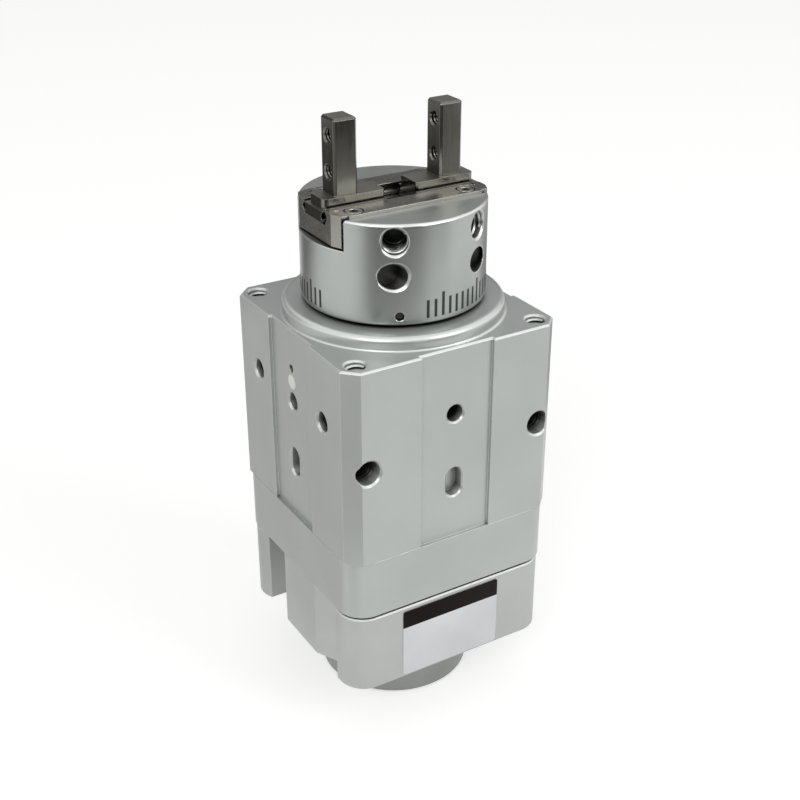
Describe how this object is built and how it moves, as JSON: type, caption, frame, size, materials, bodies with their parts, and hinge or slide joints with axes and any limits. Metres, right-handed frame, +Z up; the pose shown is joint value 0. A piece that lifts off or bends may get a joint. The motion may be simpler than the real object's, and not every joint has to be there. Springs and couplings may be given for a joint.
{
  "type": "rotary pneumatic parallel gripper",
  "caption": "Air-powered parallel gripper: opposed fingers slide on a round head that turns on a square aluminium body with a vane rotary drive and a round base cap below.",
  "frame": {"origin": "centre of the underside of the round base cap", "axes": "+Z up along the turning axis towards the fingers, X along the finger slides, -Y out of the face with the air ports and the label"},
  "size_m": [0.0402, 0.0402, 0.1045],
  "materials": {
    "anodised_aluminium": "satin clear anodised",
    "cast_aluminium": "blasted and anodised",
    "turned_aluminium": "fine turned, clear anodised",
    "hardened_steel": "ground",
    "bearing_steel": "polished",
    "pressed_steel": "pressed sheet",
    "dark_steel": "black oxide",
    "nitrile_rubber": "moulded",
    "bonded_magnet": "sintered",
    "white_nylon": "moulded",
    "label_film": "printed film, left bare"
  },
  "bodies": {
    "housing": {"main_body": "anodised_aluminium", "vane_housing": "cast_aluminium", "base_cap": "cast_aluminium", "body_screws": "dark_steel", "cap_screws": "dark_steel", "housing_dowels": "bearing_steel", "housing_gasket": "nitrile_rubber", "stopper": "cast_aluminium", "stopper_seal": "nitrile_rubber", "side_plug": "white_nylon", "label": "label_film", "upper_bearing_outer": "bearing_steel", "lower_bearing_outer": "bearing_steel", "bearing_circlip": "pressed_steel"},
    "head": {"gripper_head": "turned_aluminium", "head_plugs": "dark_steel", "upper_bearing_inner": "bearing_steel", "lower_bearing_inner": "bearing_steel", "sleeve_rings": "nitrile_rubber", "vane_shaft": "hardened_steel", "vane_seal": "nitrile_rubber", "drive_pin": "bearing_steel", "shaft_circlip": "pressed_steel", "cylinder_cap": "turned_aluminium", "cap_ring": "nitrile_rubber", "cap_circlip": "pressed_steel", "rod_seal": "nitrile_rubber", "lever_holder": "hardened_steel", "lever_pins": "bearing_steel", "finger_guide": "hardened_steel", "guide_screws": "pressed_steel", "ball_stops": "bearing_steel"},
    "piston": {"piston": "turned_aluminium", "piston_seal": "nitrile_rubber", "piston_magnet": "bonded_magnet", "magnet_nut": "pressed_steel", "centre_pin": "bearing_steel"},
    "left_finger": {"left_finger": "hardened_steel"},
    "right_finger": {"right_finger": "hardened_steel"},
    "left_guide_balls": {"left_guide_balls": "bearing_steel"},
    "right_guide_balls": {"right_guide_balls": "bearing_steel"},
    "left_lever": {"left_lever": "hardened_steel"},
    "right_lever": {"right_lever": "hardened_steel"},
    "upper_bearing_balls": {"upper_bearing_balls": "bearing_steel", "upper_bearing_cage": "pressed_steel"},
    "lower_bearing_balls": {"lower_bearing_balls": "bearing_steel", "lower_bearing_cage": "pressed_steel"}
  },
  "joints": [
    {"name": "head_turn", "type": "hinge", "parent": "housing", "child": "head", "pos_m": [0, 0, 0.074], "axis": [0, 0, 1], "range_deg": [0, 180]},
    {"name": "finger_grip", "type": "slide", "parent": "head", "child": "left_finger", "axis": [1, 0, 0], "range_m": [0, 0.002]},
    {"name": "right_finger_slide", "type": "slide", "parent": "head", "child": "right_finger", "axis": [-1, 0, 0], "range_m": [0, 0.002]},
    {"name": "left_balls_roll", "type": "slide", "parent": "head", "child": "left_guide_balls", "axis": [1, 0, 0], "range_m": [0, 0.001]},
    {"name": "right_balls_roll", "type": "slide", "parent": "head", "child": "right_guide_balls", "axis": [-1, 0, 0], "range_m": [0, 0.001]},
    {"name": "piston_stroke", "type": "slide", "parent": "head", "child": "piston", "axis": [0, 0, -1], "range_m": [0, 0.00168]},
    {"name": "left_lever_swing", "type": "hinge", "parent": "head", "child": "left_lever", "pos_m": [-0.006, 0, 0.0826], "axis": [0, 1, 0], "range_deg": [0, 15.98]},
    {"name": "right_lever_swing", "type": "hinge", "parent": "head", "child": "right_lever", "pos_m": [0.006, 0, 0.0826], "axis": [0, -1, 0], "range_deg": [0, 15.98]},
    {"name": "upper_balls_turn", "type": "hinge", "parent": "housing", "child": "upper_bearing_balls", "pos_m": [0, 0, 0.0689], "axis": [0, 0, 1], "range_deg": [0, 78.33]},
    {"name": "lower_balls_turn", "type": "hinge", "parent": "housing", "child": "lower_bearing_balls", "pos_m": [0, 0, 0.013], "axis": [0, 0, 1], "range_deg": [0, 75.15]}
  ],
  "couplings": [
    {"joint": "right_finger_slide", "follows": "finger_grip", "ratio": 1},
    {"joint": "left_balls_roll", "follows": "finger_grip", "ratio": 0.5},
    {"joint": "right_balls_roll", "follows": "finger_grip", "ratio": 0.5},
    {"joint": "piston_stroke", "follows": "finger_grip", "ratio": 0.84149},
    {"joint": "left_lever_swing", "follows": "finger_grip", "rad_per_m": 139.34},
    {"joint": "right_lever_swing", "follows": "finger_grip", "rad_per_m": 139.34},
    {"joint": "upper_balls_turn", "follows": "head_turn", "ratio": 0.43488},
    {"joint": "lower_balls_turn", "follows": "head_turn", "ratio": 0.41724}
  ]
}
